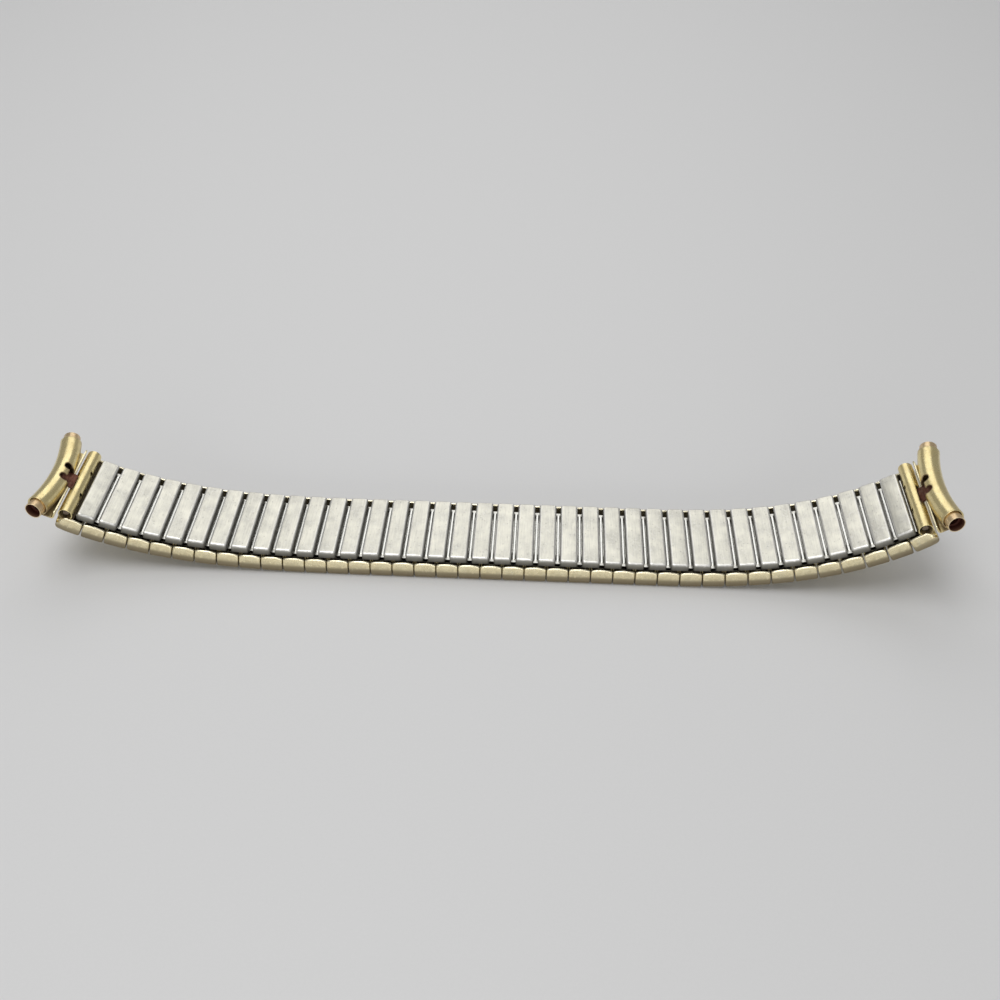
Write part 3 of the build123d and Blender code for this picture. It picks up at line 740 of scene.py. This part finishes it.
def makeBrushing(w):
    # Long fine lines: noise stretched along one direction, and few deeper scratches at a slant
    group, enter, leave = newGroup("brushing", {"Stretch": "Vector"}, ["Lines", "Scratches"])
    place = addNode(group, "TexCoord").outputs["Object"]
    fine = addNode(group, "VectorMath", {"operation": "MULTIPLY"}, i0=place, i1=enter.outputs["Stretch"])
    lines = noiseNode(group, fine.outputs[0], 1.0, w["lineDetail"], w["lineRough"])
    turned = addNode(group, "VectorRotate", {"rotation_type": "Z_AXIS"}, Vector=place,
                     Angle=w["scratchSlant"]).outputs[0]
    long = addNode(group, "VectorMath", {"operation": "MULTIPLY"}, i0=turned, i1=w["scratchStretch"])
    cuts = noiseNode(group, long.outputs[0], 1.0, 1.0, w["scratchRough"])
    group.links.new(lines, leave.inputs["Lines"])
    group.links.new(rangeNode(group, cuts, *w["scratchRange"]), leave.inputs["Scratches"])
    return group


def makeAgeingAndShade(w):
    # Clouds of two sizes, of which the finer cuts out grime together with painted shade where the darkening
    # value is high, spots, and scuffs in patches
    group, enter, leave = newGroup("ageing", {"Tarnish": "Float"}, ["Clouds", "Grime", "Spots", "Scuffs"])
    place = addNode(group, "TexCoord").outputs["Object"]
    clouds = noiseNode(group, place, w["cloudScale"], 4.0, w["cloudRough"])
    close = noiseNode(group, place, w["grimeScale"], 5.0, w["grimeRough"])
    lessDark = mathNode(group, "SUBTRACT", 1.0, enter.outputs["Tarnish"])
    low = mathNode(group, "MULTIPLY", lessDark, w["grimeReach"])
    grime = rangeNode(group, close, low, mathNode(group, "ADD", low, w["grimeSoft"]))
    dots = addNode(group, "TexVoronoi", {"feature": "F1"}, Vector=place, Scale=w["spotScale"])
    scuffs = noiseNode(group, place, w["scuffScale"], 4.0, w["scuffRough"], w["scuffTwist"])
    scuffs = rangeNode(group, scuffs, *w["scuffRange"])
    found = {
        "Clouds": clouds,
        "Grime": mathNode(group, "MULTIPLY", grime, enter.outputs["Tarnish"]),
        "Spots": rangeNode(group, dots.outputs["Distance"], *w["spotRange"]),
        "Scuffs": mathNode(group, "MULTIPLY", scuffs, rangeNode(group, clouds, *w["scuffPatches"])),
    }
    for label, value in found.items():
        group.links.new(value, leave.inputs[label])
    return group


brushing, ageing = makeBrushing(wearAndShade), makeAgeingAndShade(wearAndShade)

# Metals: colours are linear, and stretch counts the brushing's lines per metre along x, y and z. The darkest
# colour of each metal also paints shade, and the lightest also paints the highlight on the ribs
metals = {
    "link": {
        "base": (0.75, 0.73, 0.635), "cloud": (0.58, 0.567, 0.505), "rubbed": (0.9, 0.89, 0.85),
        "grime": (0.1, 0.095, 0.085), "rough": 0.34, "vary": 0.12, "scuffs": 0.55, "bump": 0.1,
        "stretch": (5200, 300, 5200)},
    "spring": {
        "base": (0.42, 0.41, 0.38), "cloud": (0.3, 0.29, 0.27), "rubbed": (0.6, 0.6, 0.57),
        "grime": (0.06, 0.05, 0.045), "rough": 0.42, "vary": 0.12, "scuffs": 0.4, "bump": 0.1,
        "stretch": (3000, 500, 3000)},
    "pin": {
        "base": (0.3, 0.25, 0.2), "cloud": (0.16, 0.12, 0.09), "rubbed": (0.5, 0.47, 0.42),
        "grime": (0.05, 0.03, 0.02), "rough": 0.45, "vary": 0.15, "scuffs": 0.5, "bump": 0.15,
        "stretch": (3000, 500, 3000)},
    "sleeve": {
        "base": (0.72, 0.71, 0.66), "cloud": (0.62, 0.61, 0.56), "rubbed": (0.92, 0.92, 0.88),
        "grime": (0.1, 0.09, 0.08), "rough": 0.24, "vary": 0.1, "scuffs": 0.3, "bump": 0.06,
        "stretch": (5200, 300, 5200)},
    "tongue": {
        "base": (0.26, 0.115, 0.08), "cloud": (0.07, 0.028, 0.02), "rubbed": (0.36, 0.24, 0.18),
        "grime": (0.04, 0.015, 0.01), "rough": 0.45, "vary": 0.15, "scuffs": 0.8, "bump": 0.15,
        "stretch": (3000, 500, 3000)},
    "gold": {
        "base": (0.9, 0.81, 0.54), "cloud": (0.82, 0.71, 0.44), "rubbed": (0.97, 0.93, 0.76),
        "grime": (0.13, 0.095, 0.05), "rough": 0.25, "vary": 0.14, "scuffs": 0.3, "bump": 0.08,
        "stretch": (900, 3800, 3800)},
    "endGold": {
        "base": (0.9, 0.775, 0.42), "cloud": (0.78, 0.64, 0.32), "rubbed": (0.96, 0.88, 0.62),
        "grime": (0.1, 0.035, 0.02), "rough": 0.27, "vary": 0.16, "scuffs": 0.3, "bump": 0.08,
        "stretch": (3200, 500, 3200)},
    "liner": {
        "base": (0.84, 0.62, 0.33), "cloud": (0.68, 0.42, 0.2), "rubbed": (0.92, 0.76, 0.5),
        "grime": (0.09, 0.025, 0.015), "rough": 0.3, "vary": 0.16, "scuffs": 0.35, "bump": 0.1,
        "stretch": (2600, 2600, 2600)},
}


def makeMetal(name, m, w):
    # Clouded colour with rubbed edges, a painted highlight on the ribs, scuffs, scratches, grime and painted
    # shade;
    # roughness, metal share and fine bump
    material = bpy.data.materials.new(name)
    material.use_nodes = True
    tree = material.node_tree
    rub, tarnish = (addNode(tree, "Attribute", {"attribute_name": key}).outputs["Fac"]
                    for key in ("rub", "tarnish"))
    lines = tree.nodes.new("ShaderNodeGroup")
    lines.node_tree = brushing
    lines.inputs["Stretch"].default_value = m["stretch"]
    age = tree.nodes.new("ShaderNodeGroup")
    age.node_tree = ageing
    tree.links.new(tarnish, age.inputs["Tarnish"])
    base, cloud, rubbed, grimyAndShaded = ((*m[key], 1.0) for key in ("base", "cloud", "rubbed", "grime"))

    mottle = addNode(tree, "Mix", i0=w["lineShare"], i2=age.outputs["Clouds"], i3=lines.outputs["Lines"])
    scuffs = mathNode(tree, "MULTIPLY", age.outputs["Scuffs"], m["scuffs"])
    scratches = mathNode(tree, "MULTIPLY", lines.outputs["Scratches"], w["scratchTint"])
    spots = mathNode(tree, "MULTIPLY", age.outputs["Spots"], w["spotShare"])
    dirtAndShade = mathNode(tree, "MAXIMUM", age.outputs["Grime"], spots)
    colour = mixColour(tree, rangeNode(tree, mottle.outputs[0], *w["cloudRange"]), base, cloud)
    for share, over in ((rub, rubbed), (scuffs, rubbed), (scratches, rubbed), (dirtAndShade, grimyAndShaded)):
        colour = mixColour(tree, share, colour, over)
    rough = rangeNode(tree, age.outputs["Clouds"], *w["roughRange"], m["rough"] - m["vary"] / 2,
                      m["rough"] + m["vary"] / 2)
    rough = mathNode(tree, "ADD", rough, rangeNode(tree, dirtAndShade, 0.0, 1.0, 0.0, w["grimeDull"]))
    rough = mathNode(tree, "ADD", rough, mathNode(tree, "MULTIPLY", scuffs, w["scuffDull"]))
    metallic = rangeNode(tree, dirtAndShade, 0.0, 1.0, 1.0, w["grimeMetal"])
    height = mathNode(tree, "ADD", lines.outputs["Lines"], lines.outputs["Scratches"])
    height = mathNode(tree, "ADD", height, scuffs)
    bump = addNode(tree, "Bump", Height=height, Strength=m["bump"], Distance=w["bumpDepth"]).outputs[0]
    found = {"Base Color": colour, "Roughness": rough, "Metallic": metallic, "Normal": bump}
    for key, value in found.items():
        tree.links.new(value, tree.nodes["Principled BSDF"].inputs[key])
    return material


made = {name: makeMetal(name + "Metal", values, wearAndShade) for name, values in metals.items()}
print("materials ready")

# One form of each kind, set down many times below
shell, coverForms = shellForm(goldShell), backLinkForms(backLink)
half, halfEnd = topSleeve["half"], topSleeve["halfSleeve"] - topSleeve["half"]
sleeve, halfSleeve = sleeveForm(topSleeve, -half, half), sleeveForm(topSleeve, -half, halfEnd, rib=False)
top, back = leafSpring["top"], leafSpring["back"]
topLeaf = leafForm(-top["half"], top["half"], top["seat"], top["bow"])
halfLeaf = leafForm(-top["half"], halfEnd - topSleeve["wall"] - leafSpring["gap"], top["seat"], top["bow"])
backLeaf = leafForm(-back["half"], back["half"], back["seat"], back["bow"])
fixedLeg = (sideClip["near"], sideClip["far"])


def clipPair(start, end, topS, backS):
    side = 1 if backS > topS else -1
    return [placed(f, (topS + backS) / 2, side) for across in (-1, 1)
            for f in clipForms(sideClip, start, end, across)]


lastTop = (bandLine["segments"] * bandLine["topsPerSegment"] - 1) // 2
middleSegment = bandLine["segments"] // 2
for k in range(bandLine["segments"]):
    centre = (k - middleSegment) * bandLine["topsPerSegment"]
    number, body = f"{k + 1:02d}", f"segment_{k + 1:02d}"
    tops = [centre - 1, centre, centre + 1]
    links = [s - 0.5 for s in tops[1:]]
    whole = [s for s in tops if abs(s) < lastTop]
    halved = [(s, 1 if s > 0 else -1) for s in tops if abs(s) == lastTop]
    pieces = {
        "goldShells": ([placed(shell, s) for s in whole], "gold", "gold_shell", "top_shells_"),
        "backLinks": ([placed(f, s) for s in links for f in coverForms], "link", "link_steel", "back_links_"),
        "topSleeves": ([placed(sleeve, s) for s in whole] + [placed(halfSleeve, *at) for at in halved],
                       "sleeve", "link_steel", "top_sleeves_"),
        "leafSprings": ([placed(topLeaf, s) for s in whole] + [placed(halfLeaf, *at) for at in halved]
                        + [placed(backLeaf, s) for s in links], "spring", "spring_steel", "leaf_springs_"),
        "sideClips": ([f for s in links for near in (-0.5, 0.5) for f in clipPair(*fixedLeg, s + near, s)],
                      "spring", "spring_steel", "side_clips_"),
    }
    for name, (forms, metal, slotName, node) in pieces.items():
        if k != middleSegment and name != "goldShells":
            node = "steel_links_"       # only the middle segment has a CAD node for each kind
        makePiece(name + "_" + number, forms, made[metal], body, [node + number])
print("segments made")

for k in range(bandLine["segments"] - 1):
    s = (k - middleSegment + 0.5) * bandLine["topsPerSegment"]
    number, body = f"{k + 1:02d}", f"bridge_{k + 1:02d}"
    inward = -0.5 if s > 0 else 0.5     # the slide is on the middle segment's side, the hinge on the other
    clips = clipPair(*sideClip["slide"], s + inward, s) + clipPair(*sideClip["hinge"], s - inward, s)
    pieces = {
        "bridgeCovers": ([placed(f, s) for f in coverForms], "link", "link_steel"),
        "bridgeLeaves": ([placed(backLeaf, s)], "spring", "spring_steel"),
        "bridgeClips": (clips, "spring", "spring_steel"),
    }
    for name, (forms, metal, slotName) in pieces.items():
        makePiece(name + "_" + number, forms, made[metal], body, ["bridge_link_" + number])
print("bridges made")

# Both ends
coverForm, bar, tube = endCoverForm(endCover), barForm(hingeBar), curvedTubeForm(curvedEnd)
lip, linerSleeve = lipForm(curvedEnd), linerForm(liner)
for name, side in (("left", -1), ("right", 1)):
    s = side * lastTop
    cover, curved = "end_cover_" + name, "curved_end_" + name
    coverBody, curvedBody = (frame["nodes"][node]["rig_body"] for node in (cover, curved))
    makePiece("endCover_" + name, [placed(coverForm, s, side)], made["gold"], coverBody, [cover])
    for label, form, body, node, wall, edge in (
            ("hingeBar_", bar, coverBody, cover, hingeBar["wall"], 0.0),
            ("curvedTube_", tube, curvedBody, curved, curvedEnd["wall"], 0.0),
            ("lipSheet_", lip, curvedBody, curved, curvedEnd["lipThick"], curvedEnd["lipEdge"])):
        sheet = makePiece(label + name, [placed(form, s, side)], made["endGold"], body, [node])
        thicken(sheet, wall, edge)
    for place, across in (("_near", -1), ("_far", 1)):
        node = "liner_sleeve_" + name + place
        form = placed(inTube(linerSleeve, curvedEnd, side * across), s, side)
        makePiece("linerSleeve_" + name + place, [form], made["liner"], frame["nodes"][node]["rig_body"],
                  [node])
print("ends made")

# CAD nodes that stay, with finished materials
kept = {"hinge_pin": "pin", "hinge_tongue": "tongue"}
for node, piece in frame["nodes"].items():
    for start, metal in kept.items():
        if node.startswith(start):
            piece.data.materials.clear()
            piece.data.materials.append(made[metal])

# Floor, a plain pale sheet with a faint grain
floorLook = {"half": 4.0, "colour": (0.72, 0.72, 0.72), "darker": 0.97, "grain": 2500.0, "rough": 0.55}
mesh = bpy.data.meshes.new("floor")
far = floorLook["half"]
mesh.from_pydata([(-far, -far, 0), (far, -far, 0), (far, far, 0), (-far, far, 0)], [], [(0, 1, 2, 3)])
floor = bpy.data.objects.new("floor", mesh)
scene.collection.objects.link(floor)
paint = bpy.data.materials.new("floorPaint")
paint.use_nodes = True
tree = paint.node_tree
place = addNode(tree, "TexCoord").outputs["Object"]
grain = addNode(tree, "TexNoise", Vector=place, Scale=floorLook["grain"], Detail=2.0).outputs["Fac"]
pale = floorLook["colour"]
shade = mixColour(tree, grain, (*(c * floorLook["darker"] for c in pale), 1), (*pale, 1))
shader = tree.nodes["Principled BSDF"]
tree.links.new(shade, shader.inputs["Base Color"])
shader.inputs["Roughness"].default_value = floorLook["rough"]
mesh.materials.append(paint)

# Light: soft boxes behind, above and in front, and a pale room. The flat faces mirror the one behind
lights = {
    "back": {"at": (-0.03, 0.4, 0.36), "size": (0.42, 0.42), "power": 0.53},
    "above": {"at": (-0.12, -0.05, 0.6), "size": (0.45, 0.36), "power": 1.6},
    "front": {"at": (0.0, -0.5, 0.13), "size": (0.5, 0.2), "power": 0.7},
    "room": 0.32,
}
for name in ("back", "above", "front"):
    lamp = bpy.data.lights.new(name, "AREA")
    lamp.shape = "RECTANGLE"
    lamp.size, lamp.size_y = lights[name]["size"]
    lamp.energy = lights[name]["power"]
    holder = bpy.data.objects.new(name, lamp)
    at = Vector(lights[name]["at"])     # it faces the origin
    holder.matrix_world = Matrix.Translation(at) @ at.to_track_quat("Z", "Y").to_matrix().to_4x4()
    scene.collection.objects.link(holder)
world = bpy.data.worlds.new("room")
world.use_nodes = True
glow = world.node_tree.nodes["Background"]
glow.inputs["Color"].default_value = (1, 1, 1, 1)
glow.inputs["Strength"].default_value = lights["room"]
scene.world = world

# Camera at the photograph's angle: looking down 42 degrees, turned 3 degrees to the left
view = {"down": 42.0, "turn": -2.98, "at": (0.008703, -0.1296, 0.1272), "lens": 39.75, "sensor": 36.0}
down, turn = math.radians(view["down"]), math.radians(view["turn"])
ahead = Vector((math.sin(turn) * math.cos(down), math.cos(turn) * math.cos(down), -math.sin(down)))
right = Vector((math.cos(turn), -math.sin(turn), 0))
lens = bpy.data.cameras.new("camera")
lens.lens, lens.sensor_width, lens.clip_start = view["lens"], view["sensor"], metre
camera = bpy.data.objects.new("camera", lens)
camera.matrix_world = (Matrix.Translation(Vector(view["at"]))
                       @ Matrix((right, right.cross(ahead), -ahead)).transposed().to_4x4())
scene.collection.objects.link(camera)
scene.camera = camera

bpy.context.view_layer.update()
print("scene ready")
